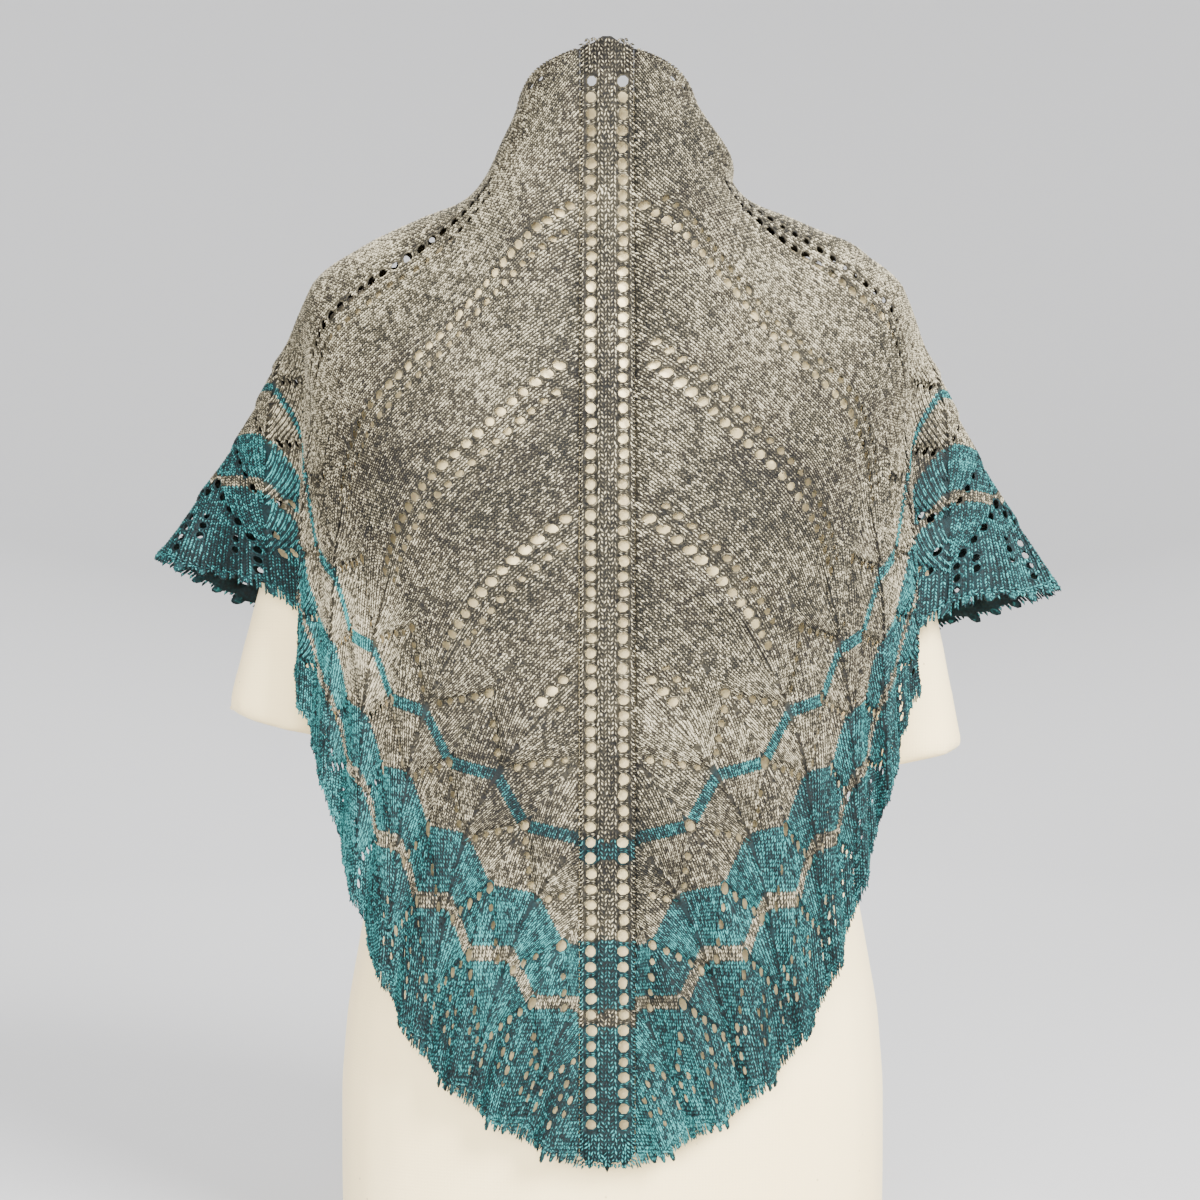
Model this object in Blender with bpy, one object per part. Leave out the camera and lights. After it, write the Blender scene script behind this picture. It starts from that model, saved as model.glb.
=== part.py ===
"""Hand-knitted lace shawl draped over a dress form, seen from the back at azimuth 0.

Metres, +Z up. The wearer's back faces -Y, and the form stands on z = 0.
The shawl is a triangle knitted from the neck down. Each half lies between the
spine and the top edge, its rows parallel to the hem. A point of a half has
a turn t (0 at the spine, 1 at the top edge) and a depth v (0 at the neck
point, 1 at the hem), and the tables below place it on the worn shape.
"""

import math

import bmesh
import bpy
import numpy as np
from mathutils import Vector
from mathutils.geometry import delaunay_2d_cdt

# Sizes of the knitted triangle
SPINE_LENGTH = 0.780
BAND_HALF = 0.018
BORDER_AT = 0.58
EDGING_AT = 0.87
WALL = 0.0022
SEAM = 0.0003
ROW_SEAM = 0.0006
ROW_DEPTH = SPINE_LENGTH / math.sqrt(2)

# Eyelets
SPINE_EYELETS = 68
SPINE_PITCH = 0.0109
SPINE_FIRST = 0.024
SPINE_COLUMN = 0.0105
SPINE_EYELET = (0.0040, 0.0044)
COLUMN_STARTS = (0.408, 0.268, 0.147, 0.0)
COLUMN_FROM = (0.43, 0.29, 0.17, 0.20)
COLUMN_PITCH = 0.0087
COLUMN_EYELET = 0.0033

# Border waves and the toothed hem
REPEATS = 15
WAVE_HEIGHT = 0.008
SCALLOP = 0.005
TOOTH = 0.0045
BORDER_COLUMNS = 74
BORDER_ROWS = 5
EDGING_ROWS = 3
SPINE_STEPS = 44

# Dress form
FORM_CENTRE = 0.004
FORM_SEGMENTS = 32
ARM_SEGMENTS = 16

# Heights of the rows in mm, at six turns from the spine to the top edge
STATIONS = (0, 0.25, 0.5, 0.63, 0.81, 1)
HEIGHTS = (
    # depth, spine, quarter, side, crest, chest, edge
    (0.000, 818, 818, 818, 818, 818, 818),
    (0.040, 788, 796, 802, 804, 806, 808),
    (0.070, 764, 779, 791, 794, 796, 797),
    (0.100, 740, 761, 778, 783, 784, 781),
    (0.140, 709, 737, 763, 768, 764, 752),
    (0.200, 664, 704, 735, 744, 734, 712),
    (0.270, 612, 663, 709, 722, 698, 662),
    (0.340, 562, 620, 680, 709, 660, 608),
    (0.410, 512, 578, 655, 690, 630, 556),
    (0.500, 448, 524, 622, 662, 582, 488),
    (0.580, 391, 476, 588, 636, 538, 428),
    (0.730, 281, 385, 518, 592, 448, 314),
    (0.807, 226, 334, 480, 564, 404, 256),
    (0.870, 180, 282, 448, 536, 366, 210),
    (1.000, 87, 178, 388, 476, 298, 118),
)

# Angles round the body in degrees, from the spine
TURNS = (
    # depth, spine, quarter, side, crest, chest, edge
    (0.000, 0, 0, 0, 0, 0, 0),
    (0.040, 0, 8, 15, 19, 26, 34),
    (0.070, 0, 14, 26, 34, 46, 62),
    (0.100, 0, 20, 35, 46, 66, 90),
    (0.140, 0, 27, 46, 60, 88, 122),
    (0.200, 0, 36, 58, 78, 114, 146),
    (0.270, 0, 38, 61, 84, 126, 157),
    (0.410, 0, 32, 61, 87, 126, 161),
    (0.580, 0, 33, 64, 90, 128, 162),
    (0.730, 0, 33, 65, 91, 130, 163),
    (1.000, 0, 32, 65, 92, 132, 164),
)

# Half widths and depths of the rings in mm
SIZES = (
    # depth, half width, back, front
    (0.000, 54, 62, 58),
    (0.070, 58, 63, 62),
    (0.140, 67, 70, 68),
    (0.200, 78, 86, 80),
    (0.270, 96, 103, 94),
    (0.340, 129, 113, 108),
    (0.410, 168, 118, 120),
    (0.500, 202, 119, 128),
    (0.580, 208, 118, 128),
    (0.730, 208, 117, 122),
    (0.870, 205, 120, 118),
    (1.000, 204, 125, 118),
)

# Large folds, which grow from a depth to the hem, in mm at the hem
FOLDS = (
    # side, turn, half width, from depth, outward, forward, upward
    (-1, 0.635, 0.060, 0.42, 102, 2, 0),
    (1, 0.635, 0.060, 0.42, 102, 2, -22),
    (-1, 0.735, 0.065, 0.42, 6, 22, 0),
    (1, 0.735, 0.065, 0.42, 6, 22, 0),
    (-1, 0.556, 0.026, 0.42, -16, -6, 0),
    (1, 0.556, 0.026, 0.42, -16, -6, -10),
    (-1, 0.475, 0.060, 0.42, 6, -9, 0),
    (1, 0.475, 0.060, 0.42, 6, -9, 0),
    (-1, 0.90, 0.045, 0.45, 2, 14, 0),
    (1, 0.90, 0.045, 0.45, 2, 14, 0),
)

# Loose cloth in one place, in mm
BULGES = (
    # side, turn, half width, depth, half depth, outward, forward, upward
    (1, 0.75, 0.30, 0.160, 0.05, 15, 2, -8),
    (-1, 0.75, 0.30, 0.165, 0.05, 2, 0, 0),
)
SQUARENESS = 0.05

# Sections of the dress form in mm
FORM_SECTIONS = (
    # height, half width, back, front
    (0, 186, 104, 96),
    (60, 187, 108, 97),
    (120, 187, 111, 97),
    (170, 183, 112, 96),
    (215, 175, 112, 94),
    (260, 167, 112, 92),
    (310, 161, 112, 92),
    (360, 159, 112, 96),
    (420, 161, 112, 104),
    (480, 168, 113, 111),
    (540, 182, 112, 108),
    (590, 198, 107, 98),
    (620, 202, 99.5, 88),
    (642, 198, 92.2, 79),
    (658, 181, 86, 72),
    (672, 157, 78, 68),
    (686, 130, 71, 64),
    (702, 104, 65, 60),
    (722, 79, 59, 56),
    (750, 62, 53, 52),
    (782, 55, 47, 47),
    (792, 48, 41, 41),
    (796, 38, 32, 32),
)

# Arm stubs in mm
ARMS = (
    # side, top out, top height, end out, end height, forward, top radius, end radius
    (-1, 165, 596, 228, 361, 14, 40, 39),
    (1, 160, 596, 211, 337, 14, 40, 39),
)


def curve(rows, column, v):
    """Value of a table's column at depth v, rising and falling only where the rows do."""
    xs = np.array([row[0] for row in rows], float)
    ys = np.array([row[column] for row in rows], float)
    step = np.diff(xs)
    rise = np.diff(ys) / step
    slope = np.zeros(len(xs))
    slope[0] = rise[0]
    slope[-1] = rise[-1]
    for i in range(1, len(xs) - 1):
        if rise[i - 1] * rise[i] > 0:
            a = 2 * step[i] + step[i - 1]
            b = step[i] + 2 * step[i - 1]
            slope[i] = (a + b) / (a / rise[i - 1] + b / rise[i])
    v = np.clip(v, xs[0], xs[-1])
    i = np.clip(np.searchsorted(xs, v, side="right") - 1, 0, len(xs) - 2)
    s = (v - xs[i]) / step[i]
    first = (1 + 2 * s) * (1 - s) ** 2 * ys[i] + s * (1 - s) ** 2 * step[i] * slope[i]
    last = s * s * (3 - 2 * s) * ys[i + 1] + s * s * (s - 1) * step[i] * slope[i + 1]
    return first + last


def bending(knots):
    """Matrix that turns values at the knots into a natural spline's second derivatives."""
    n = len(knots)
    h = np.diff(knots)
    left = np.eye(n)
    right = np.zeros((n, n))
    for i in range(1, n - 1):
        left[i, i - 1:i + 2] = (h[i - 1], 2 * (h[i - 1] + h[i]), h[i])
        right[i, i - 1:i + 2] = (6 / h[i - 1], -6 / h[i - 1] - 6 / h[i], 6 / h[i])
    return np.linalg.solve(left, right)


KNOTS = np.array(STATIONS, float)
BENDING = bending(KNOTS)


def across(rows, v, t):
    """Spline over the six stations of a table, at depth v and turn t."""
    values = np.stack([curve(rows, k, v) for k in range(1, 7)], -1)
    bends = values @ BENDING.T
    i = np.clip(np.searchsorted(KNOTS, t, side="right") - 1, 0, len(KNOTS) - 2)
    h = np.diff(KNOTS)[i]
    a = KNOTS[i + 1] - t
    b = t - KNOTS[i]
    low = np.take_along_axis(values, i[..., None], -1)[..., 0]
    high = np.take_along_axis(values, i[..., None] + 1, -1)[..., 0]
    low_bend = np.take_along_axis(bends, i[..., None], -1)[..., 0]
    high_bend = np.take_along_axis(bends, i[..., None] + 1, -1)[..., 0]
    curved = low_bend * a ** 3 / (6 * h) + high_bend * b ** 3 / (6 * h)
    return curved + (low / h - low_bend * h / 6) * a + (high / h - high_bend * h / 6) * b


def ease(low, high, x):
    s = np.clip((x - low) / (high - low), 0, 1)
    return s * s * (3 - 2 * s)


def wave(t, v):
    """Share of the full wave height at a point of the border."""
    along = v * ROW_DEPTH * (2 * t - 1)
    crest = (1 + np.cos(2 * math.pi * along * REPEATS / (2 * ROW_DEPTH))) / 2
    return crest * ease(0, 0.04, t) * ease(0, 0.04, 1 - t)


def smooth_point(side, t, v):
    """Point of a half's middle surface, before the border's waves."""
    height = across(HEIGHTS, v, t)
    turn = np.radians(across(TURNS, v, t))
    half = curve(SIZES, 1, v)
    back = curve(SIZES, 2, v)
    front = curve(SIZES, 3, v)
    band = BAND_HALF * 1000
    out = (np.sin(turn) + SQUARENESS * np.sin(3 * turn)) / (1 - SQUARENESS)
    level = (np.cos(turn) - SQUARENESS * np.cos(3 * turn)) / (1 - SQUARENESS)
    x = band + (half - band) * out
    y = -(back + (front - back) * ease(-0.5, 0.5, -np.cos(turn))) * level
    for fold_side, at, width, start, outward, forward, upward in FOLDS:
        if fold_side == side:
            share = np.exp(-((t - at) / width) ** 2) * np.clip((v - start) / (1 - start), 0, 1.1) ** 2
            x = x + outward * share
            y = y + forward * share
            height = height + upward * share
    for bulge_side, at, width, depth, reach, outward, forward, upward in BULGES:
        if bulge_side == side:
            share = np.exp(-((t - at) / width) ** 2) * np.exp(-((v - depth) / reach) ** 2)
            share = share * ease(0, 0.3, t)
            x = x + outward * share
            y = y + forward * share
            height = height + upward * share
    return np.stack([side * x, y, height], -1) / 1000


def half_point(side, flat):
    """Middle surface of a half, at flat points (outward, down) from its top corner."""
    flat = np.asarray(flat, float)
    depth = np.maximum(flat[:, 0] + flat[:, 1], 1e-6)
    t = np.clip(flat[:, 0] / depth, 0, 1)
    v = depth / SPINE_LENGTH
    past = np.maximum(v - 1, 0)[:, None]
    base = smooth_point(side, t, np.minimum(v, 1))
    if past.any():
        before = smooth_point(side, t, np.minimum(v, 1) - 0.02)
        base = base + (base - before) / 0.02 * past
    return base, t, np.minimum(v, 1)


def half_surface(side, flat):
    """Points and outward normals of a half, with the border's waves."""
    step = 0.0005
    flat = np.asarray(flat, float)

    def waved(at):
        base, t, v = half_point(side, at)
        out_a = half_point(side, at + [0.002, 0])[0] - half_point(side, at - [0.002, 0])[0]
        out_b = half_point(side, at + [0, 0.002])[0] - half_point(side, at - [0, 0.002])[0]
        normal = -side * np.cross(out_a, out_b)
        normal = normal / np.linalg.norm(normal, axis=1)[:, None]
        rise = WAVE_HEIGHT * ease(BORDER_AT, 1, v) * wave(t, v)
        return base + normal * rise[:, None]

    points = waved(flat)
    by_a = waved(flat + [step, 0]) - waved(flat - [step, 0])
    by_b = waved(flat + [0, step]) - waved(flat - [0, step])
    normals = -side * np.cross(by_a, by_b)
    normals = normals / np.linalg.norm(normals, axis=1)[:, None]
    normals[:, 0] *= ease(0, 0.015, flat[:, 0])
    return points, normals / np.linalg.norm(normals, axis=1)[:, None]


def band_surface(flat):
    """Points and outward normals of the spine panel, at flat points (x, down)."""
    flat = np.asarray(flat, float)

    def place(at):
        v = np.clip(at[:, 1] / SPINE_LENGTH, 0, 1)
        base = smooth_point(1, np.zeros(len(at)), v)
        past = np.maximum(at[:, 1] - SPINE_LENGTH, 0) + np.minimum(at[:, 1], 0)
        rise = 0.0012 * (1 - (at[:, 0] / BAND_HALF) ** 2)
        return np.stack([at[:, 0], base[:, 1] - rise, base[:, 2] - past * 0.95], -1)

    step = 0.0005
    points = place(flat)
    by_x = place(flat + [step, 0]) - place(flat - [step, 0])
    by_b = place(flat + [0, step]) - place(flat - [0, step])
    normals = -np.cross(by_x, by_b)
    normals[:, 0] = 0
    return points, normals / np.linalg.norm(normals, axis=1)[:, None]


def material(name, colour, roughness):
    made = bpy.data.materials.new(name)
    made.use_nodes = True
    shader = made.node_tree.nodes["Principled BSDF"]
    shader.inputs["Base Color"].default_value = (*colour, 1)
    shader.inputs["Roughness"].default_value = roughness
    shader.inputs["Metallic"].default_value = 0
    return made


def add_object(name, bm, mat):
    bmesh.ops.recalc_face_normals(bm, faces=bm.faces)
    mesh = bpy.data.meshes.new(name)
    bm.to_mesh(mesh)
    bm.free()
    mesh.materials.append(mat)
    mesh.shade_smooth()
    mesh.set_sharp_from_angle(angle=math.radians(50))
    made = bpy.data.objects.new(name, mesh)
    bpy.context.scene.collection.objects.link(made)
    return made


def wall(name, surface, flat, triangles, mat):
    """Closed wall of even thickness over triangles in the flat cloth."""
    points, normals = surface(np.array(flat, float))
    bm = bmesh.new()
    outer = [bm.verts.new(p) for p in points + normals * WALL / 2]
    inner = [bm.verts.new(p) for p in points - normals * WALL / 2]
    uses = {}
    for a, b, c in triangles:
        bm.faces.new((outer[a], outer[b], outer[c]))
        bm.faces.new((inner[c], inner[b], inner[a]))
        for pair in ((a, b), (b, c), (c, a)):
            uses[pair] = uses.get(pair, 0) + 1
    for a, b in uses:
        if (b, a) in uses:
            continue
        if flat[a][0] - flat[a][1] < flat[b][0] - flat[b][1]:
            bm.faces.new((outer[b], outer[a], inner[b]))
            bm.faces.new((outer[a], inner[a], inner[b]))
        else:
            bm.faces.new((outer[b], outer[a], inner[a]))
            bm.faces.new((outer[b], inner[a], inner[b]))
    return add_object(name, bm, mat)


def inside(point, polygon):
    x, y = point
    hit = False
    for i in range(len(polygon)):
        ax, ay = polygon[i]
        bx, by = polygon[i - 1]
        if (ay > y) != (by > y) and x < (bx - ax) * (y - ay) / (by - ay) + ax:
            hit = not hit
    return hit


def fill(outline, holes, extra):
    """Triangles of a flat outline less its holes, through the extra points too.

    They are found on a slightly bowed copy, whose straight sides bulge outwards.
    """
    points = list(outline)
    edges = [(i, (i + 1) % len(outline)) for i in range(len(outline))]
    for hole in holes:
        first = len(points)
        points += hole
        edges += [(first + i, first + (i + 1) % len(hole)) for i in range(len(hole))]
    points += extra
    centre = np.mean(outline, axis=0)
    offset = np.array(points) - centre
    bowed = centre + offset * (1 - 0.1 * (offset ** 2).sum(1))[:, None]
    made = delaunay_2d_cdt([Vector(p) for p in bowed], edges, [], 0, 1e-9)
    where = [points[sources[0]] for sources in made[3]]
    centres = np.array([np.mean([where[i] for i in face], axis=0) for face in made[2]])
    keep = np.array([inside(c, outline) for c in centres])
    for hole in holes:
        low = np.min(hole, axis=0)
        high = np.max(hole, axis=0)
        near = np.all((centres > low) & (centres < high), axis=1) & keep
        for i in np.flatnonzero(near):
            keep[i] = not inside(centres[i], hole)
    triangles = [tuple(face) for face, kept in zip(made[2], keep) if kept]
    used = sorted({i for face in triangles for i in face})
    place = {old: new for new, old in enumerate(used)}
    return [where[i] for i in used], [tuple(place[i] for i in face) for face in triangles]


def ring_of(centre, width, height, sides, start=0.0):
    turns = [start + 2 * math.pi * i / sides for i in range(sides)]
    return [(centre[0] + width * math.cos(a), centre[1] + height * math.sin(a)) for a in turns]


def spine_panel(mat):
    """Band between the halves, with its two columns of eyelets and its point."""
    edge = BAND_HALF - SEAM / 2
    downs = [SPINE_LENGTH * i / SPINE_STEPS for i in range(SPINE_STEPS + 1)]
    downs[0] = 0.0002
    left = [(-edge, b) for b in downs]
    right = [(edge, b) for b in reversed(downs)]
    point = [(-0.009, SPINE_LENGTH + 0.006), (0, SPINE_LENGTH + 0.002), (0.009, SPINE_LENGTH + 0.006)]
    peak = [(0.009, -0.003), (0, -0.008), (-0.009, -0.003)]
    holes = []
    for side in (-1, 1):
        for i in range(SPINE_EYELETS):
            at = (side * SPINE_COLUMN, SPINE_FIRST + i * SPINE_PITCH)
            holes.append(ring_of(at, SPINE_EYELET[0], SPINE_EYELET[1], 4))
    extra = [(0, 0.03 + i * 0.024) for i in range(30)]
    flat, triangles = fill(left + point + right + peak, holes, extra)
    return wall("spine_panel", band_surface, flat, triangles, mat)


def body_half(name, side, mat):
    """Plain knitting of a half, with its slanting columns of eyelets."""
    reach = SPINE_LENGTH * BORDER_AT
    gap = SEAM / 2
    downs = [SPINE_LENGTH * i / SPINE_STEPS for i in range(1, SPINE_STEPS + 1)]
    spine = [(gap, gap)] + [(gap, b) for b in downs if b < reach - 0.004]
    depth = reach - ROW_SEAM / 2 * math.sqrt(2)
    turns = [gap / depth] + [i / BORDER_COLUMNS for i in range(1, BORDER_COLUMNS)] + [1 - gap / depth]
    lower = [(depth * t, depth * (1 - t)) for t in turns]
    top = [(reach * i / 26, gap) for i in range(25, 0, -1)]
    outline = spine + lower + top
    holes = []
    for start, first in zip(COLUMN_STARTS, COLUMN_FROM):
        v = first
        while v < BORDER_AT - 0.008:
            along = (v - start) * SPINE_LENGTH / math.sqrt(2)
            centre = (along / math.sqrt(2), start * SPINE_LENGTH + along / math.sqrt(2))
            holes.append(ring_of(centre, COLUMN_EYELET, COLUMN_EYELET, 4))
            v += COLUMN_PITCH * math.sqrt(2) / SPINE_LENGTH
    middles = np.array([np.mean(hole, axis=0) for hole in holes])
    extra = []
    grid = 0.022
    for i in range(1, 40):
        for j in range(1, 40):
            p = (grid * (i + 0.5 * (j % 2)), grid * 0.87 * j)
            if p[0] + p[1] < reach - 0.009 and p[0] > 0.007 and p[1] > 0.007:
                if np.min(np.linalg.norm(middles - p, axis=1)) > 0.0075:
                    extra.append(p)
    flat, triangles = fill(outline, holes, extra)
    return wall(name, lambda at: half_surface(side, at), flat, triangles, mat)


def strip_half(name, side, low, high, rows, toothed, mat):
    """Rows of a half from one depth to another, on one grid of turns."""
    gap = SEAM / 2
    depths = np.linspace(low * SPINE_LENGTH, high * SPINE_LENGTH, rows + 1)
    depths[0] += ROW_SEAM / 2 * math.sqrt(2)
    if not toothed:
        depths[-1] -= ROW_SEAM / 2 * math.sqrt(2)
    flat = []
    for j, depth in enumerate(depths):
        for i in range(BORDER_COLUMNS + 1):
            t = min(max(i / BORDER_COLUMNS, gap / depth), 1 - gap / depth)
            reach = depth
            if toothed and j == rows and 0 < i < BORDER_COLUMNS:
                crest = float(wave(np.array(t), np.array(1.0)))
                reach += SCALLOP * (crest - 0.5) + (TOOTH if i % 2 else -TOOTH / 4)
            flat.append((reach * t, reach * (1 - t)))
    triangles = []
    across_all = BORDER_COLUMNS + 1
    for j in range(rows):
        for i in range(BORDER_COLUMNS):
            a = j * across_all + i
            b = a + across_all
            if (i + j) % 2:
                triangles += [(a, b, a + 1), (a + 1, b, b + 1)]
            else:
                triangles += [(a, b, b + 1), (a, b + 1, a + 1)]
    return wall(name, lambda at: half_surface(side, at), flat, triangles, mat)


def loft(bm, rings):
    """Closed solid through rings of equal counts, from the bottom one up."""
    loops = [[bm.verts.new(p) for p in ring] for ring in rings]
    count = len(loops[0])
    for low, high in zip(loops, loops[1:]):
        for i in range(count):
            j = (i + 1) % count
            bm.faces.new((low[i], low[j], high[j], high[i]))
    bm.faces.new(list(reversed(loops[0])))
    bm.faces.new(loops[-1])


def form_ring(height, half, back, front):
    ring = []
    for i in range(FORM_SEGMENTS):
        a = 2 * math.pi * i / FORM_SEGMENTS
        out = math.sin(a) + 0.04 * math.sin(3 * a)
        level = math.cos(a) - 0.04 * math.cos(3 * a)
        deep = back if level > 0 else front
        ring.append((FORM_CENTRE + half * out / 960, -deep * level / 960, height / 1000))
    return ring


def arm_rings(row):
    side, top_out, top_z, end_out, end_z, forward, top_radius, end_radius = row
    top = np.array([side * top_out, forward, top_z], float)
    end = np.array([side * end_out, forward, end_z], float)
    axis = (end - top) / np.linalg.norm(end - top)
    level = np.array([0.0, 1.0, 0.0])
    across_arm = np.cross(axis, level)
    rings = []
    for share, grow in ((1, 0.96), (0.988, 1), (0.7, 1), (0.4, 1), (0.15, 0.94), (0, 0.8)):
        radius = (top_radius + (end_radius - top_radius) * share) * grow
        ring = []
        for i in range(ARM_SEGMENTS):
            a = 2 * math.pi * i / ARM_SEGMENTS
            p = top + (end - top) * share + radius * (math.cos(a) * across_arm + math.sin(a) * level)
            ring.append(tuple(p / 1000))
        rings.append(ring)
    return rings


def dress_form(mat):
    """Torso with its neck and arm stubs, joined into one solid."""
    bm = bmesh.new()
    loft(bm, [form_ring(*row) for row in FORM_SECTIONS])
    body = add_object("dress_form", bm, mat)
    for row in ARMS:
        bm = bmesh.new()
        loft(bm, arm_rings(row))
        arm = add_object("arm", bm, mat)
        join = body.modifiers.new("join", "BOOLEAN")
        join.operation = "UNION"
        join.solver = "EXACT"
        join.object = arm
        graph = bpy.context.evaluated_depsgraph_get()
        joined = bpy.data.meshes.new_from_object(body.evaluated_get(graph))
        body.modifiers.remove(join)
        body.data = joined
        bpy.data.objects.remove(arm)
    bm = bmesh.new()
    bm.from_mesh(body.data)
    bmesh.ops.remove_doubles(bm, verts=bm.verts, dist=0.0001)
    bmesh.ops.triangulate(bm, faces=bm.faces)
    bmesh.ops.recalc_face_normals(bm, faces=bm.faces)
    bm.to_mesh(body.data)
    bm.free()
    body.data.name = "dress_form"
    return body


def centre_on_origin():
    """Moves every mesh so that the base of the whole box is centred on the origin."""
    low = np.full(3, 1e9)
    high = np.full(3, -1e9)
    for made in bpy.data.objects:
        points = np.array([v.co for v in made.data.vertices])
        low = np.minimum(low, points.min(0))
        high = np.maximum(high, points.max(0))
    shift = Vector((-(low[0] + high[0]) / 2, -(low[1] + high[1]) / 2, -low[2]))
    for made in bpy.data.objects:
        for vertex in made.data.vertices:
            vertex.co += shift


def build():
    for old in list(bpy.data.objects):
        bpy.data.objects.remove(old, do_unlink=True)
    grey = material("grey_marl_yarn", (0.26, 0.25, 0.22), 0.85)
    mixed = material("grey_to_teal_yarn", (0.20, 0.23, 0.21), 0.85)
    teal = material("teal_yarn", (0.03, 0.19, 0.22), 0.8)
    calico = material("unbleached_calico", (0.84, 0.76, 0.58), 0.9)
    spine_panel(grey)
    for word, side in (("left", -1), ("right", 1)):
        body_half("body_" + word, side, grey)
        strip_half("leaf_border_" + word, side, BORDER_AT, EDGING_AT, BORDER_ROWS, False, mixed)
        strip_half("edging_" + word, side, EDGING_AT, 1.0, EDGING_ROWS, True, teal)
    dress_form(calico)
    centre_on_origin()


build()
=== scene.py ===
"""Looks of a hand-knitted lace shawl, draped over a calico-covered dress form.

Metres, +Z up. The back of the shawl faces -Y, which is the camera's side. The cloth
is worked out as it is knitted: each half is a triangle with its rows parallel to the
hem and its wales running down to it, and every stitch is placed on the worn shape.
"""

import math

import bmesh
import bpy
import numpy as np
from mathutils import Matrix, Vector
from mathutils.geometry import delaunay_2d_cdt


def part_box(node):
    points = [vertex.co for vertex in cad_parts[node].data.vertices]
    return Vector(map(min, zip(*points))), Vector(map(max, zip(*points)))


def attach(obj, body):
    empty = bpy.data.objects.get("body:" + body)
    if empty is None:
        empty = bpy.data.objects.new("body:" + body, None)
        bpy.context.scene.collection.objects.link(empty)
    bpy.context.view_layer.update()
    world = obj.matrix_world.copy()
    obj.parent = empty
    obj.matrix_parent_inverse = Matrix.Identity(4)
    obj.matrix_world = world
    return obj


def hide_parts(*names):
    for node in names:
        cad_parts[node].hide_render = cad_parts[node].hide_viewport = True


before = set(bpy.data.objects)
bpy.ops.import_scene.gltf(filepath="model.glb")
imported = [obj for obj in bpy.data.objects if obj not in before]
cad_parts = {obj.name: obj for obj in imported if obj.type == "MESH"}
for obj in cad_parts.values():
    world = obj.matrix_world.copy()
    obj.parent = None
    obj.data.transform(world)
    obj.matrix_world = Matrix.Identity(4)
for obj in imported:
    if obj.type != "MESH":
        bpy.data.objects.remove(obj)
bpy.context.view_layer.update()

# The knitted triangle, with the same sizes as the solids
SPINE_LENGTH = 0.780
BAND_HALF = 0.018
BORDER_AT = 0.58
EDGING_AT = 0.87
WALL = 0.0022
ROW_DEPTH = SPINE_LENGTH / math.sqrt(2)
WAVE_REPEATS = 15
WAVE_HEIGHT = 0.008

# Stitches and the leaf pattern. The leaves hang from eyelets on their middle lines, and
# the ridges where they meet lie at whole leaf widths from the middle of the half.
LEAF_REPEATS = 14
LEAF_WIDTH = 2 * ROW_DEPTH / LEAF_REPEATS
HALF_LEAF = LEAF_WIDTH / 2
WALE = LEAF_WIDTH / 20
ROW = 0.0021
LEAF_RISE = 0.0070
ARM_SLOPE = 0.9
TIERS = (
    0.575 * ROW_DEPTH, 0.637 * ROW_DEPTH, 0.737 * ROW_DEPTH,
    0.820 * ROW_DEPTH, 0.887 * ROW_DEPTH, 0.62,
)
LEANS = (
    # lean of the wales at the top and foot of each tier, and the spacing of its wales
    (0.04, 0.55, 1.25),
    (0.10, 0.60, 1.35),
    (0.10, 0.60, 1.35),
    (0.10, 0.60, 1.35),
    (0.0, 0.0, 1.0),
)

# Eyelets: half sizes along the row and along the wale
SPINE_EYELETS = 68
SPINE_PITCH = 0.0109
SPINE_FIRST = 0.024
SPINE_COLUMN = 0.0105
SPINE_EYELET = (0.0040, 0.0044)
COLUMN_FROM = (0.565, 0.417, 0.265, 0.145, 0.22)
COLUMN_TO = 0.625
COLUMN_PITCH = 0.0087
COLUMN_ASIDE = 0.007
COLUMN_GAP = 0.0125
LARGE_EYELET = (0.0041, 0.0033)
SMALL_EYELET = (0.0030, 0.0025)
LEAF_EYELET = (0.0031, 0.0030)
APEX_EYELET = (0.0044, 0.0040)
HEM_EYELET = (0.0027, 0.0028)
HEM_PITCH = 0.0078
ARM_PITCH = 0.0076
EDGE_EYELET = (0.0029, 0.0029)
EDGE_EYELETS = 66
EDGE_FIRST = 0.035
EDGE_COLUMN = 0.0125

# The cloth under the stitches, and half the gap beside the spine band
CLOTH_THICK = 0.0009
SEAM_GAP = 0.00015

# Heights of the rows in mm, at six turns from the spine to the top edge
STATIONS = (0, 0.25, 0.5, 0.63, 0.81, 1)
HEIGHTS = (
    # depth, spine, quarter, side, crest, chest, edge
    (0.000, 818, 818, 818, 818, 818, 818),
    (0.040, 788, 796, 802, 804, 806, 808),
    (0.070, 764, 779, 791, 794, 796, 797),
    (0.100, 740, 761, 778, 783, 784, 781),
    (0.140, 709, 737, 763, 768, 764, 752),
    (0.200, 664, 704, 735, 744, 734, 712),
    (0.270, 612, 663, 709, 722, 698, 662),
    (0.340, 562, 620, 680, 709, 660, 608),
    (0.410, 512, 578, 655, 690, 630, 556),
    (0.500, 448, 524, 622, 662, 582, 488),
    (0.580, 391, 476, 588, 636, 538, 428),
    (0.730, 281, 385, 518, 592, 448, 314),
    (0.807, 226, 334, 480, 564, 404, 256),
    (0.870, 180, 282, 448, 536, 366, 210),
    (1.000, 87, 178, 388, 476, 298, 118),
)

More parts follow.
